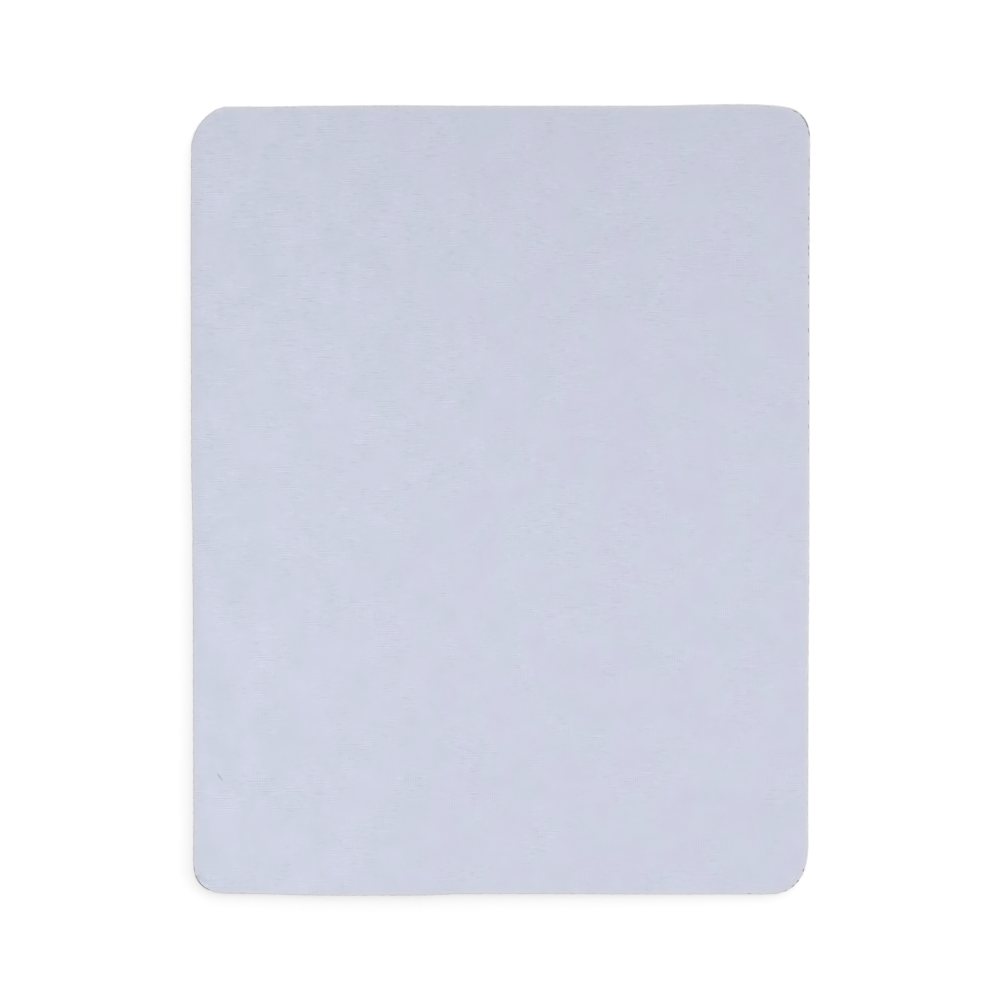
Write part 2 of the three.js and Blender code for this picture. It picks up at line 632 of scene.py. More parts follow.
def clustered(cut: Cut, middle: Array) -> Array:
    """Puts rows close together near the front and rear edges, where the corners run nearly along the rows.

    The distance of a close row from its edge grows with the cube of its number.

    Args:
        cut: the outline of the face.
        middle: the rows between the close ones.

    Returns:
        All the rows, from the front to the rear.
    """
    near = CLOSE_DEPTH * (np.arange(CLOSE_ROWS + 1) / CLOSE_ROWS) ** 3
    clear = 1.05 * CLOSE_DEPTH
    between = middle[(middle > cut.front + clear) & (middle < cut.rear - clear)]
    return np.concatenate([cut.front + near, between, (cut.rear - near)[::-1]])


# Materials

Socket = bpy.types.NodeSocket
WHITE = (1.0, 1.0, 1.0, 1.0)

# The part of a noise's range that a roughness follows
WIDE = (0.2, 0.8)
NARROW = (0.3, 0.7)


def white_rays(tree: bpy.types.NodeTree) -> Socket:
    """Picks the rays that are shown white: from the camera, in a reflection or through clear pieces.

    Args:
        tree: the nodes that it is added to.

    Returns:
        1 on these rays and 0 on the others.
    """
    path = tree.nodes.new("ShaderNodeLightPath")
    result = path.outputs["Is Camera Ray"]
    for name in ("Is Glossy Ray", "Is Transmission Ray"):
        either = tree.nodes.new("ShaderNodeMath")
        either.operation = "MAXIMUM"
        tree.links.new(result, either.inputs[0])
        tree.links.new(path.outputs[name], either.inputs[1])
        result = either.outputs[0]
    return result


class Graph:
    """A material's nodes, joined step by step."""

    def __init__(self, name: str) -> None:
        """Starts a material with a Principled shader.

        Args:
            name: the material's name.
        """
        self.material = bpy.data.materials.new(name)
        self.material.use_nodes = True
        self.tree = self.material.node_tree
        self.shader = self.tree.nodes["Principled BSDF"]
        self.place = self.tree.nodes.new("ShaderNodeTexCoord").outputs["Object"]

    def node(self, kind: str, **settings: object) -> bpy.types.Node:
        """Adds a node.

        Args:
            kind: the node's type, without the words that all shader nodes start with.
            settings: the node's own properties.

        Returns:
            The node.
        """
        made = self.tree.nodes.new("ShaderNode" + kind)
        for key, value in settings.items():
            setattr(made, key, value)
        return made

    def feed(self, target: Socket, value: Socket | float | tuple) -> None:
        """Joins a socket to another, or sets it to a value.

        Args:
            target: the input.
            value: an output or a plain value.
        """
        if isinstance(value, Socket):
            self.tree.links.new(value, target)
        else:
            target.default_value = value

    def math(self, operation: str, *numbers: Socket | float) -> Socket:
        """Adds one sum.

        Args:
            operation: what to work out.
            numbers: what to work it out from.

        Returns:
            The result.
        """
        made = self.node("Math", operation=operation)
        for socket, number in zip(made.inputs, numbers):
            self.feed(socket, number)
        return made.outputs[0]

    def fit(
        self, value: Socket, low: float, high: float, to_low: float = 0.0, to_high: float = 1.0
    ) -> Socket:
        """Takes a range of a value to another range, with a smooth start and end.

        Args:
            value: the value.
            low: where the range starts.
            high: where it ends.
            to_low: the result at its start.
            to_high: the result at its end.

        Returns:
            The result.
        """
        made = self.node("MapRange", interpolation_type="SMOOTHSTEP")
        for socket, number in zip(made.inputs[:5], (value, low, high, to_low, to_high)):
            self.feed(socket, number)
        return made.outputs[0]

    def mix(self, share: Socket | float, first: Socket | Colour, second: Socket | Colour) -> Socket:
        """Mixes two colours.

        Args:
            share: how much of the second colour to take.
            first: the first colour.
            second: the second colour.

        Returns:
            The mixed colour.
        """
        made = self.node("Mix", data_type="RGBA")
        self.feed(made.inputs["Factor"], share)
        for socket, colour in ((made.inputs[6], first), (made.inputs[7], second)):
            self.feed(socket, colour if isinstance(colour, Socket) else (*colour, 1.0))
        return made.outputs[2]

    def scaled(self, sizes: Triple) -> Socket:
        """Measures the place on the piece in steps of the given sizes.

        Args:
            sizes: the length of one step across, along and up.

        Returns:
            The scaled place.
        """
        made = self.node("Mapping")
        self.feed(made.inputs["Vector"], self.place)
        made.inputs["Scale"].default_value = tuple(1 / size for size in sizes)
        return made.outputs[0]

    def noise(self, sizes: Triple, detail: float = 2.0, rough: float = 0.5) -> Socket:
        """Adds noise with grains of the given sizes.

        Args:
            sizes: how long the grains are across, along and up.
            detail: how many finer grains are added to them.
            rough: how strong the finer grains are.

        Returns:
            The noise, from 0 to 1.
        """
        made = self.node("TexNoise")
        self.feed(made.inputs["Vector"], self.scaled(sizes))
        for key, value in (("Scale", 1.0), ("Detail", detail), ("Roughness", rough)):
            made.inputs[key].default_value = value
        return made.outputs[0]

    def attribute(self, name: str) -> Socket:
        """Returns a number that the piece's own points carry."""
        return self.node("Attribute", attribute_name=name).outputs["Fac"]

    def parts(self, place: Socket) -> tuple[Socket, Socket, Socket]:
        """Takes a place apart.

        Args:
            place: the place.

        Returns:
            How far across, along and up it lies.
        """
        made = self.node("SeparateXYZ")
        self.feed(made.inputs[0], place)
        return tuple(made.outputs)

    def total(self, layers: tuple[tuple[Socket, float], ...], level: Socket | float) -> Socket:
        """Adds up layers, each times its own share.

        Args:
            layers: the layers and their shares.
            level: what they are added to.

        Returns:
            The sum.
        """
        result = level
        for layer, share in layers:
            result = self.math("MULTIPLY_ADD", layer, share, result)
        return result

    def shaded(self, colour: Socket, factor: Socket) -> Socket:
        """Makes a colour darker or paler.

        Args:
            colour: the colour.
            factor: what to multiply it by.

        Returns:
            The new colour.
        """
        made = self.node("VectorMath", operation="SCALE")
        self.feed(made.inputs[0], colour)
        self.feed(made.inputs["Scale"], factor)
        return made.outputs[0]

    def bump(self, height: Socket, distance: float) -> None:
        """Gives the surface a fine relief.

        Args:
            height: the relief, from 0 to 1.
            distance: how deep it is.
        """
        made = self.node("Bump")
        made.inputs["Distance"].default_value = distance
        self.feed(made.inputs["Height"], height)
        self.feed(self.shader.inputs["Normal"], made.outputs[0])

    def finish(self, colour: Socket, rough: Socket | float, **settings: float) -> bpy.types.Material:
        """Joins the colour and the roughness to the shader.

        Args:
            colour: the surface's colour.
            rough: how rough the surface is.
            settings: numbers for the shader's own sockets, by their names with underscores for spaces.

        Returns:
            The material.
        """
        self.feed(self.shader.inputs["Base Color"], colour)
        self.feed(self.shader.inputs["Roughness"], rough)
        for key, value in settings.items():
            self.shader.inputs[key.replace("_", " ")].default_value = value
        return self.material


@dataclass(frozen=True)
class ClothFinish:
    """Plain-woven polyester with fine ribs, dyed a pale grey lavender.

    Attributes:
        colour: the cloth's colour at the left side.
        lavender: its colour from the middle to the right side, where the dye is a little redder.
        cool: the colour of its bluer patches.
        rim: the warmer grey along the cut edge, where the die has pressed the cloth.
        rim_width: how wide the pressed rim is.
        frayed: how much paler the cut edge is painted, a painted highlight along the rolled edge where the
            fibres' ends stand up.
        edge_highlight_width: how wide that paler line is.
        weft: the distance between the ribs, which run across the pad.
        waver: how far the ribs and the threads along the pad wander from straight, in threads.
        bend: the length of that wander along a thread, and from one thread to those beside it.
        warp: the distance between the threads that run along it.
        fine: the distance between its finest threads, across and along the pad.
        fuzz: the size of the fibres' ends across, along and up.
        depth: how deep the weave is.
        patch: the size of the bluer patches across, along and up.
        patchy: the part of the noise over which such a patch comes out.
        rib_stretch: the size of a place where ribs stand out side by side, across, along and up. Like the
            next four it is metres high, which keeps it the same all through the cloth.
        thread_stretch: the size of a place where threads along the pad stand out side by side.
        slub: the size of a stretch where a rib is thick.
        gap: the size of a stretch where the weave beside a rib is open.
        knot: the size of a stretch of lengthwise thread that stands out.
        rib_light_and_shade: how much paler the ribs' crests and how much darker their furrows are painted
            where they stand out: painted light and painted shade on the weave's relief.
        thread_light_and_shade: the same painted light and shade for the threads along the pad, where they do.
        cluster: the size of the places where many of them lie together.
        crest: how much stronger they are along a thread's crest than they are on the whole.
        single: the part of the noise over which one stretch of thread comes out.
        busy: the part of the noise over which a cluster of them does.
        slub_lean: how much more often slubs and knots come towards the left and the rear, per metre, and
            everywhere.
        rib_lean: the same for ribs that stand out side by side.
        thread_lean: the same for threads along the pad.
        pale: how much paler a thick stretch is painted than the plain cloth, partly the thick yarn itself and
            partly painted light on its crest.
        gap_shade: how much darker an open stretch is painted, partly the weave's own openness and partly
            painted shade in its furrow.
        fainter: how strong a knot is against a thick stretch.
        level: the cloth's shade before the rest is added to it.
        mottle: how strongly the cloth's shade varies softly from place to place.
        mottle_size: the size of those places across, along and up.
        painted_side_light: how much darker the cloth is along the middle than at its sides: painted light,
            which makes the sides paler where the soft box's light falls off.
        middle: the share of the pad's width that this middle takes up.
        mark_place: the middle of a small pulled thread in the front left part.
        mark_size: its length and its width.
        mark_angle: how far it is turned from the pad's width.
        mark_core: the share of it that is full.
        mark_colour: its colour.
        cover: how much of the cloth's colour the pressed rim and the mark hide.
        rough: how rough the cloth is between its fibres and on them.
    """

    colour: Colour = (0.63, 0.655, 0.774)
    lavender: Colour = (0.62, 0.63, 0.758)
    cool: Colour = (0.606, 0.643, 0.746)
    rim: Colour = (0.65, 0.65, 0.715)
    rim_width: float = 2.4 * MM
    frayed: float = 0.065
    edge_highlight_width: float = 0.5 * MM
    weft: float = 0.735 * MM
    waver: float = 3.0
    bend: Pair = (60 * MM, 25 * MM)
    warp: float = 0.66 * MM
    fine: Pair = (0.14 * MM, 0.112 * MM)
    fuzz: Triple = (0.16 * MM, 0.1 * MM, 0.1 * MM)
    depth: float = 0.05 * MM
    patch: Triple = (8 * MM, 11.2 * MM, 8 * MM)
    patchy: Pair = (0.35, 0.65)
    rib_stretch: Triple = (6 * MM, 2.6 * MM, 5.0)
    thread_stretch: Triple = (2.6 * MM, 6 * MM, 5.0)
    slub: Triple = (4 * MM, 0.85 * MM, 1.0)
    gap: Triple = (3.2 * MM, 0.85 * MM, 3.0)
    knot: Triple = (0.8 * MM, 2.4 * MM, 2.0)
    rib_light_and_shade: float = 0.075
    thread_light_and_shade: float = 0.05
    cluster: float = 13 * MM
    crest: float = 0.3
    single: Pair = (0.56, 0.7)
    busy: Pair = (0.38, 0.62)
    slub_lean: Triple = (0.3, 0.65, 0.005)
    rib_lean: Triple = (0.88, 0.55, -0.045)
    thread_lean: Triple = (-1.0, -0.75, -0.09)
    pale: float = 0.055
    gap_shade: float = 0.078
    fainter: float = 0.6
    level: float = 0.953
    mottle: float = 0.087
    mottle_size: Triple = (8 * MM, 6.5 * MM, 7 * MM)
    painted_side_light: float = 0.016
    middle: float = 0.2
    mark_place: Pair = (-82.2 * MM, -80.5 * MM)
    mark_size: Pair = (4.2 * MM, 0.8 * MM)
    mark_angle: float = math.radians(-55)
    mark_core: float = 0.2
    mark_colour: Colour = (0.42, 0.44, 0.53)
    cover: float = 0.8
    rough: Pair = (0.84, 0.96)

    def weave(self, graph: Graph) -> tuple[Socket, Socket, Socket, Socket]:
        """Adds the even weave: cosines of the place in threads, which wanders, and their products.

        Args:
            graph: the material's nodes.

        Returns:
            The ribs, the threads along the pad, their crossings and the finest threads, from -1 to 1.
        """
        long, short = self.bend
        across, along, _ = graph.parts(graph.scaled((self.warp, self.weft, 1.0)))
        across = graph.total(((graph.noise((short, long, long), detail=1.0), self.waver),), across)
        along = graph.total(((graph.noise((long, short, long), detail=1.0), self.waver),), along)
        over, under, _ = graph.parts(graph.scaled((*self.fine, 1.0)))

        def wave(kind: str, place: Socket, turn: float) -> Socket:
            """Returns the sine or the cosine of a place times a turn."""
            return graph.math(kind, graph.math("MULTIPLY", place, turn))

        rib, thread = wave("COSINE", along, TURN), wave("COSINE", across, TURN)
        crossing = graph.math("MULTIPLY", wave("SINE", across, math.pi), wave("COSINE", along, math.pi))
        finest = graph.math("MULTIPLY", wave("SINE", over, math.pi), wave("SINE", under, math.pi))
        return rib, thread, crossing, finest

    def standing(self, graph: Graph, rib: Socket, thread: Socket) -> tuple[Socket, ...]:
        """Adds the stretches of thread that stand out of the even weave.

        Args:
            graph: the material's nodes.
            rib: the ribs.
            thread: the threads along the pad.

        Returns:
            Ribs and threads that stand out side by side, and single slubs, gaps and knots.
        """
        place = graph.parts(graph.place)
        slub_lean, rib_lean, thread_lean = (
            graph.total(((place[0], -left), (place[1], rear)), level)
            for left, rear, level in (self.slub_lean, self.rib_lean, self.thread_lean)
        )
        crest = graph.math("MULTIPLY_ADD", rib, self.crest, 1 - self.crest)
        furrow = graph.math("MULTIPLY_ADD", rib, -self.crest, 1 - self.crest)
        back = graph.math("MULTIPLY_ADD", thread, self.crest, 1 - self.crest)
        return (
            graph.math("MULTIPLY", rib, self.spots(graph, self.rib_stretch, rib_lean)),
            graph.math("MULTIPLY", thread, self.spots(graph, self.thread_stretch, thread_lean)),
            graph.math("MULTIPLY", crest, self.spots(graph, self.slub, slub_lean)),
            graph.math("MULTIPLY", furrow, self.spots(graph, self.gap, slub_lean)),
            graph.math("MULTIPLY", back, self.spots(graph, self.knot, slub_lean)),
        )

    def material(self) -> bpy.types.Material:
        """Makes the cloth's material: the weave, what stands out of it, soft patches, a rim and a mark.

        Returns:
            The material.
        """
        graph = Graph("woven_cloth")
        rib, thread, crossing, finest = self.weave(graph)
        ribbed, lined, slub, gap, knot = self.standing(graph, rib, thread)
        fuzz = graph.noise(self.fuzz, detail=3.0, rough=0.6)
        mottle = graph.noise(self.mottle_size, detail=2.0, rough=0.65)

        # Each layer of the weave with its share of the relief, added to a middle height
        even = ((rib, 0.01), (crossing, 0.03), (finest, 0.08), (fuzz, 0.07))
        uneven = ((ribbed, 0.12), (lined, 0.1), (slub, 0.25), (gap, -0.25), (knot, 0.15))
        graph.bump(graph.total((*even, *uneven), 0.4), self.depth)

        across = graph.parts(graph.place)[0]
        half_middle = self.middle * CLOTH_HIGH.x
        tone = graph.fit(across, CLOTH_LOW.x, half_middle)
        colour = graph.mix(tone, self.colour, self.lavender)
        patch = graph.noise(self.patch, detail=4.0, rough=0.65)
        colour = graph.mix(graph.fit(patch, *self.patchy), colour, self.cool)
        inward = graph.attribute("inward")
        colour = graph.mix(graph.fit(inward, 0.0, self.rim_width, self.cover, 0.0), colour, self.rim)
        # The cut edge is painted paler: a painted highlight on the rolled edge, which would otherwise lie in
        # its own shade.
        edge_highlight_mask = graph.fit(inward, 0.0, self.edge_highlight_width, 1.0, 0.0)
        # The sides are painted paler than the middle: painted light for the soft box's light falling off
        # towards them.
        beside = graph.fit(graph.math("ABSOLUTE", across), half_middle, CLOTH_HIGH.x)
        # Each layer with how much paler, or darker, it makes the cloth
        # Thick stretches and knots are painted paler and open stretches darker: partly the weave's own
        # unevenness, partly painted light on crests and painted shade in furrows.
        single = ((slub, self.pale), (gap, -self.gap_shade), (knot, self.fainter * self.pale))
        # Painted light on the crests of the ribs and threads that stand out, and painted shade in their
        # furrows.
        groups = ((ribbed, self.rib_light_and_shade), (lined, self.thread_light_and_shade))
        soft = ((fuzz, 0.01), (mottle, self.mottle), (beside, self.painted_side_light), (edge_highlight_mask, self.frayed))
        colour = graph.shaded(colour, graph.total((*single, *groups, *soft), self.level))
        colour = graph.mix(graph.math("MULTIPLY", self.mark(graph), self.cover), colour, self.mark_colour)
        rough = graph.fit(fuzz, *WIDE, *self.rough)
        return graph.finish(colour, rough, Sheen_Weight=0.15, Sheen_Roughness=0.5, Specular_IOR_Level=0.25)

    def spots(self, graph: Graph, sizes: Triple, lean: Socket) -> Socket:
        """Picks the stretches of thread that stand out: few single ones, and more of them in clusters.

        Args:
            graph: the material's nodes.
            sizes: the size of one stretch across, along and up.
            lean: how much likelier they are at a place.

        Returns:
            1 in the middle of such a stretch and 0 outside them.
        """
        single = graph.fit(graph.noise(sizes, detail=1.0), *self.single)
        cluster = graph.noise((self.cluster, self.cluster, self.cluster * sizes[2]), detail=1.0)
        busy = graph.fit(graph.math("ADD", cluster, lean), *self.busy)
        return graph.math("MULTIPLY", single, busy)

    def mark(self, graph: Graph) -> Socket:
        """Draws the small pulled thread as an ellipse with a soft edge.

        Args:
            graph: the material's nodes.

        Returns:
            1 in the middle of the thread and 0 outside it.
        """
        placed = graph.node("Mapping", vector_type="TEXTURE")
        graph.feed(placed.inputs["Vector"], graph.place)
        placed.inputs["Location"].default_value = (*self.mark_place, 0.0)
        placed.inputs["Rotation"].default_value = (0.0, 0.0, self.mark_angle)
        placed.inputs["Scale"].default_value = (self.mark_size[0] / 2, self.mark_size[1] / 2, 1.0)
        away = graph.node("VectorMath", operation="LENGTH")
        graph.feed(away.inputs[0], placed.outputs[0])
        return graph.fit(away.outputs["Value"], self.mark_core, 1.0, 1.0, 0.0)


@dataclass(frozen=True)
class ThreadFinish:
    """Loose polyester, paler than the pressed cloth because it takes up light from all sides.

    Attributes:
        colour: its colour.
        shade: its colour where it is twisted tight.
        twist: the length of one twist.
        relief: how deep the twists are.
        tight: the part of the noise over which a twist tightens.
        rough: how rough the thread is where it is loose and where it is tight.
    """

    colour: Colour = (0.87, 0.88, 0.93)
    shade: Colour = (0.72, 0.735, 0.8)
    twist: float = 0.35 * MM
    relief: float = 0.01 * MM
    tight: Pair = (0.45, 0.75)
    rough: Pair = (0.75, 0.9)

    def material(self) -> bpy.types.Material:
        """Makes the material of the loose threads.

        Returns:
            The material.
        """
        graph = Graph("loose_thread")
        twists = graph.noise((self.twist, self.twist, self.twist), detail=3.0)
        graph.bump(twists, self.relief)
        colour = graph.mix(graph.fit(twists, *self.tight), self.colour, self.shade)
        return graph.finish(colour, graph.fit(twists, *NARROW, *self.rough), Sheen_Weight=0.2)


@dataclass(frozen=True)
class FilmFinish:
    """Hot-melt film, pale and slightly glossy where it is squeezed out.

    Attributes:
        colour: the film's colour.
        stained: its colour where it has taken up some of the rubber's black.
        grain: the size of the uneven spots.
        relief: how deep they are.
        stain: the part of the noise over which a spot turns stained.
        rough: how rough the film is at its glossiest and at its dullest.
    """

    colour: Colour = (0.76, 0.75, 0.7)
    stained: Colour = (0.45, 0.45, 0.43)
    grain: float = 1.2 * MM
    relief: float = 0.03 * MM
    stain: Pair = (0.45, 0.75)
    rough: Pair = (0.35, 0.55)

    def material(self) -> bpy.types.Material:
        """Makes the film's material.

        Returns:
            The material.
        """
        graph = Graph("hot_melt_film")
        spots = graph.noise((self.grain, self.grain, self.grain), detail=3.0)
        graph.bump(spots, self.relief)
        colour = graph.mix(graph.fit(spots, *self.stain), self.colour, self.stained)
        return graph.finish(colour, graph.fit(spots, *NARROW, *self.rough))


@dataclass(frozen=True)
class RubberFinish:
    """Black foam rubber with a moulded skin underneath and open cells in its cut wall.

    Attributes:
        colour: the rubber's colour.
        dusty: its colour where fine dust clings to it.
        skin: the pitch of the fine net in the moulded skin.
        mesh: the part of the net's wave over which one of its threads rises.
        cell: the size of a foam cell.
        pit: the part of the way from a cell's middle to its wall over which its pit rises.
        grain: the size of the grains in the skin.
        edge: how far inside the cut wall the skin starts.
        relief: how deep the cells and the net are.
        dust: the size of the dusty patches.
        cling: the part of the noise over which dust comes out.
        rough: how rough the rubber is at its smoothest and at its dullest.
    """

    colour: Colour = (0.0123, 0.0123, 0.0137)
    dusty: Colour = (0.035, 0.034, 0.033)
    skin: float = 0.8 * MM
    mesh: Pair = (0.3, 0.95)
    cell: float = 0.28 * MM
    pit: Pair = (0.1, 0.75)
    grain: float = 0.2 * MM
    edge: float = 0.08 * MM
    relief: float = 0.08 * MM
    dust: float = 9 * MM
    cling: Pair = (0.52, 0.78)
    rough: Pair = (0.7, 0.92)

    def material(self) -> bpy.types.Material:
        """Makes the rubber's material.

        Returns:
            The material.
        """
        graph = Graph("foam_rubber")
        cut = graph.fit(graph.attribute("inward"), 0.0, self.edge, 1.0, 0.0)
        cells = graph.node("TexVoronoi", feature="F1")
        graph.feed(cells.inputs["Vector"], graph.scaled((self.cell, self.cell, self.cell)))
        cells.inputs["Scale"].default_value = 1.0
        pits = graph.fit(cells.outputs["Distance"], *self.pit)
        across, along, _ = graph.parts(graph.scaled((self.skin, self.skin, self.skin)))
        first = graph.math("COSINE", graph.math("MULTIPLY", across, TURN))
        second = graph.math("COSINE", graph.math("MULTIPLY", along, TURN))
        net = graph.fit(graph.math("MAXIMUM", first, second), *self.mesh)
        grain = graph.noise((self.grain, self.grain, self.grain), detail=3.0, rough=0.6)
        relief = graph.node("Mix", data_type="FLOAT")
        graph.feed(relief.inputs[0], cut)
        graph.feed(relief.inputs[2], graph.total(((net, 0.5), (grain, 0.5)), 0.0))
        graph.feed(relief.inputs[3], pits)
        graph.bump(relief.outputs[0], self.relief)
        dust = graph.noise((self.dust, self.dust, self.dust), detail=6.0, rough=0.7)
        colour = graph.mix(graph.fit(dust, *self.cling), self.colour, self.dusty)
        rough = graph.fit(grain, *WIDE, *self.rough)
        return graph.finish(colour, rough, Specular_IOR_Level=0.35)


@dataclass(frozen=True)
class TableFinish:
    """A plain white table, which the camera sees as white but which keeps the pad's shadow.

    Attributes:
        colour: the table's own colour.
        near_glow: how much the camera sees it lifted right under the lamp.
        far_glow: how much it does further off, where less light reaches it.
        reach: the distance at which it is lifted that much.
        end_glow: how much more it is lifted towards its ends, where the lamp no longer lights it.
        end: the distance at which that is full.
        rough: how rough it is.
    """

    colour: Colour = (0.9, 0.9, 0.9)
    near_glow: float = 0.125
    far_glow: float = 0.268
    reach: float = 0.25
    end_glow: float = 0.42
    end: float = 0.9
    rough: float = 0.9

    def material(self, under: Triple) -> bpy.types.Material:
        """Makes the table's material.

        Args:
            under: the place on the table that is right under the lamp.

        Returns:
            The material.
        """
        graph = Graph("white_table")
        away = graph.node("VectorMath", operation="DISTANCE")
        graph.feed(away.inputs[0], graph.place)
        graph.feed(away.inputs[1], under)
        close = graph.fit(away.outputs["Value"], 0.0, self.reach, self.near_glow, self.far_glow)
        beyond = graph.fit(away.outputs["Value"], self.reach, self.end, 0.0, self.end_glow)
        glow = graph.math("ADD", close, beyond)
        seen = graph.math("MULTIPLY", white_rays(graph.tree), glow)
        graph.feed(graph.shader.inputs["Emission Strength"], seen)
        graph.shader.inputs["Emission Color"].default_value = WHITE
        graph.shader.inputs["Base Color"].default_value = (*self.colour, 1.0)
        graph.shader.inputs["Roughness"].default_value = self.rough
        graph.shader.inputs["Specular IOR Level"].default_value = 0.0
        return graph.material


# Sub-assemblies


class Held(Enum):
    """How a sheet is held."""

    LAID = "laid"


@dataclass(frozen=True)
class YarnEnd:
    """A pulled yarn that lies on the cloth beside its cut edge.

    Attributes:
        across: where it comes out of the cloth, across the pad.
        along: where it comes out, along the pad.
        heading: which way it runs, turned from straight right towards the rear.
        length: how long it is.
        bend: how far it turns to its left on its way.
    """

    across: float
    along: float
    heading: float
    length: float
    bend: float


YARN_ENDS = (
    YarnEnd(-88.1 * MM, -110.7 * MM, math.radians(-66), 1.1 * MM, math.radians(14)),
    YarnEnd(-87.6 * MM, -111.6 * MM, math.radians(-54), 1.2 * MM, math.radians(12)),
    YarnEnd(-86.9 * MM, -112.7 * MM, math.radians(8), 1.5 * MM, math.radians(30)),
    YarnEnd(-84.6 * MM, -110.1 * MM, math.radians(-20), 1.1 * MM, math.radians(-10)),
    YarnEnd(86.3 * MM, -109.5 * MM, math.radians(-122), 2.2 * MM, math.radians(-8)),
)


@dataclass
class LooseThreads:
    """The short ends of fibre and the few pulled yarns at the cloth's cut edge.

    Attributes:
        finish: their material.
        yarns: the pulled yarns.
        fibres: how many short fibres stand out of the edge.
        longest: the length of the longest fibre.
        shortest: the length of the shortest one, as a share of the longest.
        widest: the greatest angle between a fibre and the edge's outward normal.
        inside: how far inside the edge a fibre starts.
        height: how far below and above the edge's widest turns it may start.
        lift: how steeply it may fall or rise from there, as a slope.
        turning: how far its end may be turned aside, as a share of its length.
        droop: how far its end sinks by its own weight, as a share of its length.
        fibre: the radius of a fibre at its root.
        tip: how much of that is left at its end.
        yarn: the radius of a yarn at its middle.
        stub: how much of that is left at both ends.
        dip: how deep a yarn's ends lie under the top of the cloth, in radii.
        arch: how high its middle rises above its ends, in radii.
        steps: how many steps a thread has along its length.
        sides: how many sides it has round.
        crease: the angle between two sides past which the edge between them is sharp.
        root_seed: picks where the fibres start.
        fibre_seed: picks how they run.
    """

    finish: ThreadFinish = ThreadFinish()
    yarns: tuple[YarnEnd, ...] = YARN_ENDS
    fibres: int = 420
    longest: float = 0.9 * MM
    shortest: float = 0.25
    widest: float = math.radians(78)
    inside: float = 0.1 * MM
    height: Pair = (-0.12 * MM, 0.2 * MM)
    lift: Pair = (-0.25, 0.45)
    turning: float = 0.6
    droop: float = 0.35
    fibre: float = 0.012 * MM
    tip: float = 0.4
    yarn: float = 0.105 * MM
    stub: float = 0.35
    dip: float = 1.2
    arch: float = 2.0
    steps: int = 7
    sides: int = 5
    crease: float = math.radians(80)
    root_seed: int = 31
    fibre_seed: int = 32

    def roots(self, cloth: bpy.types.Object) -> tuple[Array, Array]:
        """Picks places for the fibres round the outermost edge of the cloth, evenly by its length.

        Args:
            cloth: the cloth's piece.

        Returns:
            The places, and the direction in which the edge's normal points at each, as an angle.
        """
        mesh = cloth.data
        points = np.empty(len(mesh.vertices) * 3, np.float32)
        mesh.vertices.foreach_get("co", points)
        inward = np.empty(len(mesh.vertices), np.float32)
        mesh.attributes["inward"].data.foreach_get("value", inward)
        # Two turns of the rim lie outermost, the last one of the rolled edge and the cloth's foot below it
        touching = 0.01 * MM
        outermost = points.reshape(-1, 3)[inward < touching].astype(float)
        edge = outermost[: len(outermost) // 2]
        ahead = np.roll(edge, -1, axis=0) - edge
        passed = np.concatenate([[0], np.cumsum(np.linalg.norm(ahead[:, :2], axis=1))])
        pick = np.random.default_rng(self.root_seed)
        place = np.sort(pick.uniform(0, passed[-1], self.fibres))
        index = np.clip(np.searchsorted(passed, place) - 1, 0, len(edge) - 1)
        share = (place - passed[index]) / (passed[index + 1] - passed[index])
        return edge[index] + ahead[index] * share[:, None], np.arctan2(-ahead[index, 0], ahead[index, 1])

    def fibre_lines(self, cloth: bpy.types.Object) -> Array:
        """Works out the middle lines of the fibres.

        Each starts inside the cloth, leaves it at its own angle, turns a little sideways with the square of
        the way and sinks with the square of the way.

        Args:
            cloth: the cloth's piece.

        Returns:
            The lines as fibres by points by three.
        """
        root, normal = self.roots(cloth)
        pick = np.random.default_rng(self.fibre_seed)
        lean = pick.uniform(-self.widest, self.widest, self.fibres)
        length = self.longest * (self.shortest + (1 - self.shortest) * pick.random(self.fibres) ** 3)
        bend = pick.uniform(-self.turning, self.turning, self.fibres)
        lift = pick.uniform(*self.lift, self.fibres)
        height = pick.uniform(*self.height, self.fibres)
        way = np.linspace(0, 1, self.steps)
        heading = (normal + lean)[:, None]
        far = length[:, None] * way
        turned = length[:, None] * bend[:, None] * way**2
        start_x = root[:, :1] - self.inside * np.cos(normal)[:, None]
        start_y = root[:, 1:2] - self.inside * np.sin(normal)[:, None]
        x = start_x + far * np.cos(heading) - turned * np.sin(heading)
        y = start_y + far * np.sin(heading) + turned * np.cos(heading)
        z = root[:, 2:] + height[:, None] + far * lift[:, None] - self.droop * length[:, None] * way**2
        return np.stack([x, y, z], axis=-1)

    def yarn_lines(self) -> Array:
        """Works out the middle lines of the yarns: arcs that lie on the cloth and dip into it at both ends.

        Returns:
            The lines as yarns by points by three.
        """
        number = np.array([(end.across, end.along, end.heading, end.length, end.bend) for end in self.yarns])
        across, along, heading, length, bend = (column[:, None] for column in number.T)
        way = np.linspace(0, 1, self.steps)
        course = heading + bend * way
        x = across + length * way * np.cos(course)
        y = along + length * way * np.sin(course)
        rise = self.arch * np.sin(math.pi * way) - self.dip
        z = np.broadcast_to(CLOTH_HIGH.z + self.yarn * rise, x.shape)
        return np.stack([x, y, z], axis=-1)

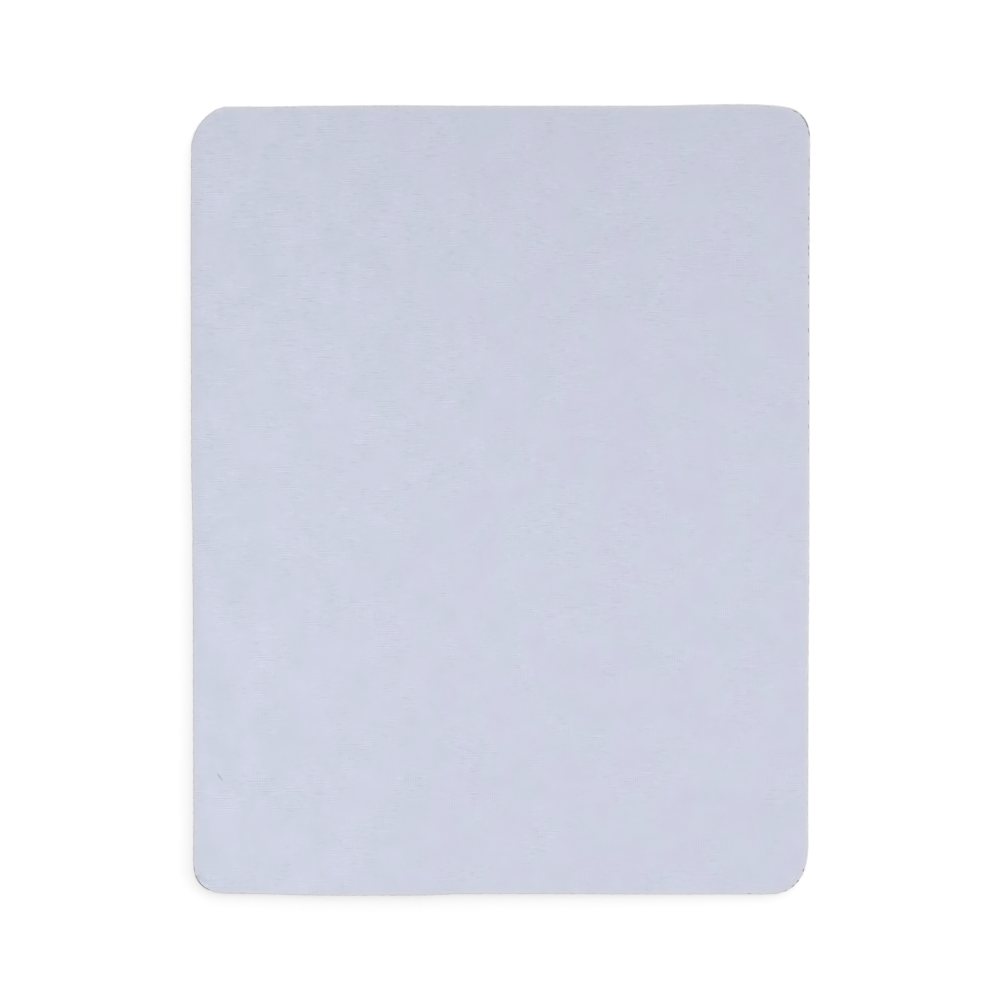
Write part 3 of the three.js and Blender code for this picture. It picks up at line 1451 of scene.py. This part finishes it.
    def tubes(self, lines: Array, radius: Array) -> tuple[Array, Array]:
        """Carries a ring along each line, narrower towards both ends.

        Args:
            lines: the middle lines, as threads by points by three.
            radius: the radius at each point of a line.

        Returns:
            The tubes' points, and their four-sided faces as numbers of points.
        """
        ahead = np.gradient(lines, axis=1)
        ahead /= np.linalg.norm(ahead, axis=-1, keepdims=True)
        beside = np.cross(np.array([0.0, 0.0, 1.0]), ahead)
        beside /= np.linalg.norm(beside, axis=-1, keepdims=True)
        over = np.cross(ahead, beside)
        turn = np.arange(self.sides) * TURN / self.sides
        ring = beside[:, :, None] * np.cos(turn)[:, None] + over[:, :, None] * np.sin(turn)[:, None]
        points = lines[:, :, None] + ring * radius[None, :, None, None]
        grid = np.arange(points[..., 0].size).reshape(points.shape[:3])
        here, there = grid[:, :-1], grid[:, 1:]
        faces = np.stack([here, np.roll(here, -1, axis=2), np.roll(there, -1, axis=2), there], axis=-1)
        return points.reshape(-1, 3), faces.reshape(-1, 4)

    def build(self, cloth: bpy.types.Object) -> bpy.types.Object:
        """Makes the threads.

        Args:
            cloth: the piece whose edge they stand out of.

        Returns:
            The piece.
        """
        way = np.linspace(0, 1, self.steps)
        tapered = self.fibre * (1 - (1 - self.tip) * way)
        rounded = self.yarn * (self.stub + (1 - self.stub) * np.sin(math.pi * way))
        fine, fine_faces = self.tubes(self.fibre_lines(cloth), tapered)
        thick, thick_faces = self.tubes(self.yarn_lines(), rounded)
        points = np.concatenate([fine, thick])
        quads = np.concatenate([fine_faces, thick_faces + len(fine)])
        rings = np.arange(len(points)).reshape(-1, self.steps, self.sides)
        ends = np.concatenate([rings[:, 0, ::-1], rings[:, -1]])
        mesh = bpy.data.meshes.new("edge_threads")
        mesh.from_pydata(points, [], quads.tolist() + ends.tolist())
        mesh.validate()
        mesh.shade_smooth()
        mesh.set_sharp_from_angle(angle=self.crease)
        mesh.materials.append(self.finish.material())
        piece = add_object("edge_threads", mesh)
        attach(piece, BODY)
        return piece


@dataclass
class TopCloth:
    """The woven cloth on top of the pad.

    Attributes:
        finish: its material.
        threads: the loose threads at its edge.
        low: the height of its underside.
        high: the height of its top.
        roll: the radius of its rolled edge.
        roll_rings: how many turns the rolled edge has.
        columns: how many cells a row of its face has.
        splits: how many steps each cell has along the front and rear edges.
        rows_in_rib: how many rows each rib has.
        calm: how deep the ribs are where they are faintest.
        lively: how much deeper they are where they are strongest.
        stretch: how far it is from such a place to the next.
        swell: how deep the shallow hollows are that the foam's unevenness leaves in the face.
        hollow: how far it is from one hollow to the next.
        wavers: the ragged cut, loose threads over a slower waver.
    """

    finish: ClothFinish = ClothFinish()
    threads: LooseThreads = field(default_factory=LooseThreads)
    low: float = CLOTH_LOW.z
    high: float = CLOTH_HIGH.z
    roll: float = 0.28 * MM
    roll_rings: int = 4
    columns: int = 56
    splits: int = 8
    rows_in_rib: int = 4
    calm: float = 0.002 * MM
    lively: float = 0.006 * MM
    stretch: float = 40 * MM
    swell: float = 0.03 * MM
    hollow: float = 26 * MM
    wavers: tuple[Waver, ...] = (
        Waver(depth=0.03 * MM, fewest=400, most=1100, seed=3),
        Waver(depth=0.045 * MM, fewest=130, most=380, seed=4),
    )

    def relief(self, x: Array, y: Array) -> Array:
        """Works out the ribs and the hollows.

        The ribs are a cosine along the pad, of a depth that changes slowly over the face, and the hollows are
        uneven ground.

        Args:
            x: places across the pad.
            y: places along the pad.

        Returns:
            How far the face lies above its highest level, which is never above 0.
        """
        strong = smooth((rolling(x, y, self.stretch, seed=7) + 1) / 2)
        depth = self.calm + self.lively * strong
        ribs = depth * (1 - np.cos(TURN * y / self.finish.weft)) / 2
        hollows = self.swell * smooth((rolling(x, y, self.hollow, seed=9) + 1.5) / 3)
        return -ribs - hollows

    def build(self) -> list[bpy.types.Object]:
        """Returns:
            The cloth and its loose threads.
        """
        cut = DIE.inset(self.roll)
        row = self.finish.weft / self.rows_in_rib
        half = int(cut.rear / row)
        rings = []
        for part in np.arange(1, self.roll_rings + 1) / self.roll_rings:
            lean = part * math.pi / 2
            out = self.roll * math.sin(lean)
            drop = self.roll * (1 - math.cos(lean))
            rings.append(Ring(out, self.high - drop, rough=part, follow=1 - part))
        rings.append(Ring(self.roll, self.low))
        plate = Plate(
            cut=cut,
            drift=DIE_DRIFT,
            level=self.high,
            relief=self.relief,
            rows=clustered(cut, np.arange(-half, half + 1) * row),
            columns=self.columns,
            splits=self.splits,
            rings=tuple(rings),
            looking=Looking.UP,
            wavers=self.wavers,
            inset=self.roll,
            nicks=NICKS,
        )
        piece = plate.build("woven_top")
        piece.data.materials.append(self.finish.material())
        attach(piece, BODY)
        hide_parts("top_cloth")
        threads = self.threads.build(piece)
        return [piece, threads]


@dataclass
class BondFilm:
    """The film that bonds the cloth to the rubber.

    Attributes:
        finish: its material.
        low: the height of its underside.
        high: the height of its top.
        set_back: how far its edge lies inside the cloth's.
        squeeze: how far its edge is squeezed out past its face, except in the cloth's nicks.
        lip: how far below its top it is squeezed out, as a share of its thickness.
        row: the distance between the rows of its face.
        columns: how many cells each row has.
        splits: how many steps each cell has along the front and rear edges.
        wavers: how unevenly it is squeezed out.
    """

    finish: FilmFinish = FilmFinish()
    low: float = FILM_LOW.z
    high: float = FILM_HIGH.z
    set_back: float = 0.16 * MM
    squeeze: float = 0.25 * MM
    lip: float = 0.25
    row: float = 2 * MM
    columns: int = 45
    splits: int = 8
    wavers: tuple[Waver, ...] = (Waver(depth=0.05 * MM, fewest=60, most=260, seed=11),)

    def build(self) -> list[bpy.types.Object]:
        """Makes the film in the place of its solid.

        Returns:
            The film alone.
        """
        cut = DIE.inset(self.set_back + self.squeeze)
        half = int(cut.rear / self.row)
        lip = self.high - self.lip * (self.high - self.low)
        plate = Plate(
            cut=cut,
            drift=DIE_DRIFT,
            level=self.high,
            relief=lambda x, y: np.zeros_like(x),
            rows=clustered(cut, np.arange(-half, half + 1) * self.row),
            columns=self.columns,
            splits=self.splits,
            rings=(Ring(self.squeeze, lip), Ring(self.squeeze, self.low)),
            looking=Looking.UP,
            wavers=self.wavers,
            inset=self.set_back + self.squeeze,
            nicks=NICKS,
        )
        piece = plate.build("bond_layer")
        piece.data.materials.append(self.finish.material())
        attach(piece, BODY)
        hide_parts("bond_film")
        return [piece]


@dataclass
class RubberBase:
    """The foam rubber base with the grip ribs on its underside.

    Attributes:
        finish: its material.
        low: the height of its underside.
        high: the height of its top.
        pitch: the distance from one groove to the next.
        mouth: how wide a groove is at the underside.
        floor: how wide it is at its floor.
        depth: how deep it is.
        plain_end: the land without grooves at the front and at the rear.
        hollow: how far the cut wall draws in at half its height.
        wall_rings: how many turns the wall has.
        foot: how high its lowest turn lies, in depths of a groove.
        slope_rows: how many rows each slope of a groove has.
        columns: how many cells each row has.
        splits: how many steps each cell has along the front and rear edges.
        wavers: the fine upright drag marks of the die.
    """

    finish: RubberFinish = RubberFinish()
    low: float = RUBBER_LOW.z
    high: float = RUBBER_HIGH.z
    pitch: float = 2.5 * MM
    mouth: float = 1.2 * MM
    floor: float = 0.8 * MM
    depth: float = 0.3 * MM
    plain_end: float = 3 * MM
    hollow: float = 0.15 * MM
    wall_rings: int = 8
    foot: float = 1.15
    slope_rows: int = 6
    columns: int = 30
    splits: int = 12
    wavers: tuple[Waver, ...] = (Waver(depth=0.018 * MM, fewest=500, most=1300, seed=21),)

    def reach(self) -> float:
        """Returns how far from the middle the centre of the last groove may lie."""
        return RUBBER_HIGH.y - self.plain_end - self.mouth / 2

    def relief(self, x: Array, y: Array) -> Array:
        """Works out the grooves: one smooth rise from the land at the mouth to the floor of the groove.

        Args:
            x: places across the pad.
            y: places along the pad.

        Returns:
            How far the surface lies above the underside.
        """
        count = np.floor(self.reach() / self.pitch + 0.5)
        number = np.clip(np.floor(y / self.pitch), -count, count - 1)
        away = np.abs(y - (number + 0.5) * self.pitch)
        return self.depth * smooth((self.mouth / 2 - away) / ((self.mouth - self.floor) / 2))

    def build(self) -> list[bpy.types.Object]:
        """Returns:
            The base alone.
        """
        wall = (self.mouth - self.floor) / 2
        inside = self.floor / 2 + wall * np.linspace(0, 1, self.slope_rows)
        half = np.concatenate([inside, [self.pitch / 2]])
        steps = np.concatenate([-half[::-1], [0.0], half[:-1]]) + self.pitch / 2
        count = int(DIE.rear / self.pitch) + 1
        rows = (np.arange(-count, count)[:, None] * self.pitch + steps).ravel()
        shares = np.linspace(0, 1, self.wall_rings + 1)
        foot = self.depth * self.foot
        heights = self.low + foot + (self.high - self.low - foot) * shares
        rings = []
        for height in heights:
            share = (height - self.low) / (self.high - self.low)
            rings.append(Ring(-self.hollow * math.sin(math.pi * share), height))
        plate = Plate(
            cut=DIE,
            drift=DIE_DRIFT,
            level=self.low,
            relief=self.relief,
            rows=clustered(DIE, rows),
            columns=self.columns,
            splits=self.splits,
            rings=tuple(rings),
            looking=Looking.DOWN,
            wavers=self.wavers,
        )
        piece = plate.build("foam_base")
        piece.data.materials.append(self.finish.material())
        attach(piece, BODY)
        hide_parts("rubber_base")
        return [piece]


@dataclass(frozen=True)
class FarLamp:
    """A lamp so far away that its light comes from the same side everywhere.

    Attributes:
        strength: its strength.
        height: how high it stands above the horizon.
        side: how far round it stands to the right of straight behind the pad.
        width: how wide it looks from the pad.
    """

    strength: float
    height: float
    side: float
    width: float

    def place(self) -> Vector:
        """Returns the direction to the lamp."""
        level = math.cos(self.height)
        return Vector((level * math.sin(self.side), level * math.cos(self.side), math.sin(self.height)))


@dataclass
class Studio:
    """The white table, the soft lamps and the camera.

    Attributes:
        table: the table's finish.
        table_size: the length of the table's sides.
        table_gap: how far the table lies under the pad.
        lens: the camera's focal length in millimetres.
        sensor: the width of its sensor in millimetres.
        scale: how many of the photo's pixels one metre takes up at the middle of the cloth.
        picture: the width of the photo in pixels.
        tilt: how far the camera leans from straight above, towards the rear.
        aim: the place on the cloth that it is aimed at, across and along.
        clip: how many times nearer and further than the pad the camera still sees.
        top_power: the power of the soft box above the pad, in watts.
        top_place: where it stands.
        top_size: how long its sides are.
        rear: the wide lamp behind the pad.
        right: the lamp at the right.
        sky: the strength of the even light from all around.
    """

    table: TableFinish = TableFinish()
    table_size: float = 6.0
    table_gap: float = 0.01 * MM
    lens: float = 85.0
    sensor: float = 36.0
    scale: float = 3.425 / MM
    picture: float = 1000.0
    tilt: float = math.radians(1.05)
    aim: Pair = (-0.21 * MM, 0.54 * MM)
    clip: float = 100.0
    top_power: float = 2.7
    top_place: Triple = (-0.02, -0.082, 0.66)
    top_size: float = 0.12
    rear: FarLamp = FarLamp(1.52, math.radians(40), math.radians(24), math.radians(105))
    right: FarLamp = FarLamp(0.35, math.radians(28), math.radians(82), math.radians(30))
    sky: float = 0.01

    def build(self) -> None:
        """Makes the table, the lamps, the surroundings and the camera, and sets how colours are shown."""
        scene = bpy.context.scene
        scene.view_settings.view_transform = "Standard"
        self.make_table()
        self.make_lamps()
        self.make_sky()
        self.make_camera()

    def make_table(self) -> None:
        """Makes the table just under the pad."""
        half = self.table_size / 2
        level = RUBBER_LOW.z - self.table_gap
        mesh = bpy.data.meshes.new("table")
        corners = [(-half, -half, level), (half, -half, level), (half, half, level), (-half, half, level)]
        mesh.from_pydata(corners, [], [(0, 1, 2, 3)])
        mesh.materials.append(self.table.material((*self.top_place[:2], level)))
        table = add_object("table", mesh)

    def lamp(self, name: str, kind: str, place: Vector, energy: float) -> bpy.types.Light:
        """Adds a lamp that looks at the middle of the pad.

        Args:
            name: the lamp's name.
            kind: the type of lamp.
            place: where it stands.
            energy: its strength.

        Returns:
            The lamp's data.
        """
        data = bpy.data.lights.new(name, kind)
        data.energy = energy
        lamp = add_object(name, data)
        lamp.location = place
        lamp.rotation_euler = (-place).to_track_quat("-Z", "Y").to_euler()
        return data

    def make_lamps(self) -> None:
        """Makes the soft box above the pad and the lamps behind it and at its right."""
        top = self.lamp("top_lamp", "AREA", Vector(self.top_place), self.top_power)
        top.size = self.top_size
        for name, far in (("rear_lamp", self.rear), ("right_lamp", self.right)):
            lamp = self.lamp(name, "SUN", far.place(), far.strength)
            lamp.angle = far.width

    def make_sky(self) -> None:
        """Lights the pad evenly from all around, and shows white to the camera and in reflections."""
        world = bpy.data.worlds.new("studio")
        world.use_nodes = True
        bpy.context.scene.world = world
        tree = world.node_tree
        strength = tree.nodes.new("ShaderNodeMapRange")
        tree.links.new(white_rays(tree), strength.inputs["Value"])
        strength.inputs["To Min"].default_value = self.sky
        strength.inputs["To Max"].default_value = 1.0
        background = tree.nodes["Background"]
        background.inputs["Color"].default_value = WHITE
        tree.links.new(strength.outputs[0], background.inputs["Strength"])

    def make_camera(self) -> None:
        """Puts the camera above the pad, at the distance where the cloth has the photo's scale."""
        data = bpy.data.cameras.new("camera")
        data.lens = self.lens
        data.sensor_width = self.sensor
        distance = self.lens / self.sensor * self.picture / self.scale
        data.clip_start = distance / self.clip
        data.clip_end = distance * self.clip
        camera = add_object("camera", data)
        target = Vector((*self.aim, CLOTH_HIGH.z))
        camera.location = target + distance * Vector((0.0, math.sin(self.tilt), math.cos(self.tilt)))
        camera.rotation_euler = (-self.tilt, 0.0, 0.0)
        bpy.context.scene.camera = camera


def main() -> None:
    """Builds the pad from the base up, then the studio, and reports each piece."""
    logging.basicConfig(level=logging.INFO, format="%(name)s: %(message)s")
    for assembly in (RubberBase(), BondFilm(), TopCloth()):
        for piece in assembly.build():
            piece.data.calc_loop_triangles()
            log.info("%s: %d triangles", piece.name, len(piece.data.loop_triangles))
    Studio().build()
    log.info("studio ready")


if __name__ == "__main__":
    main()
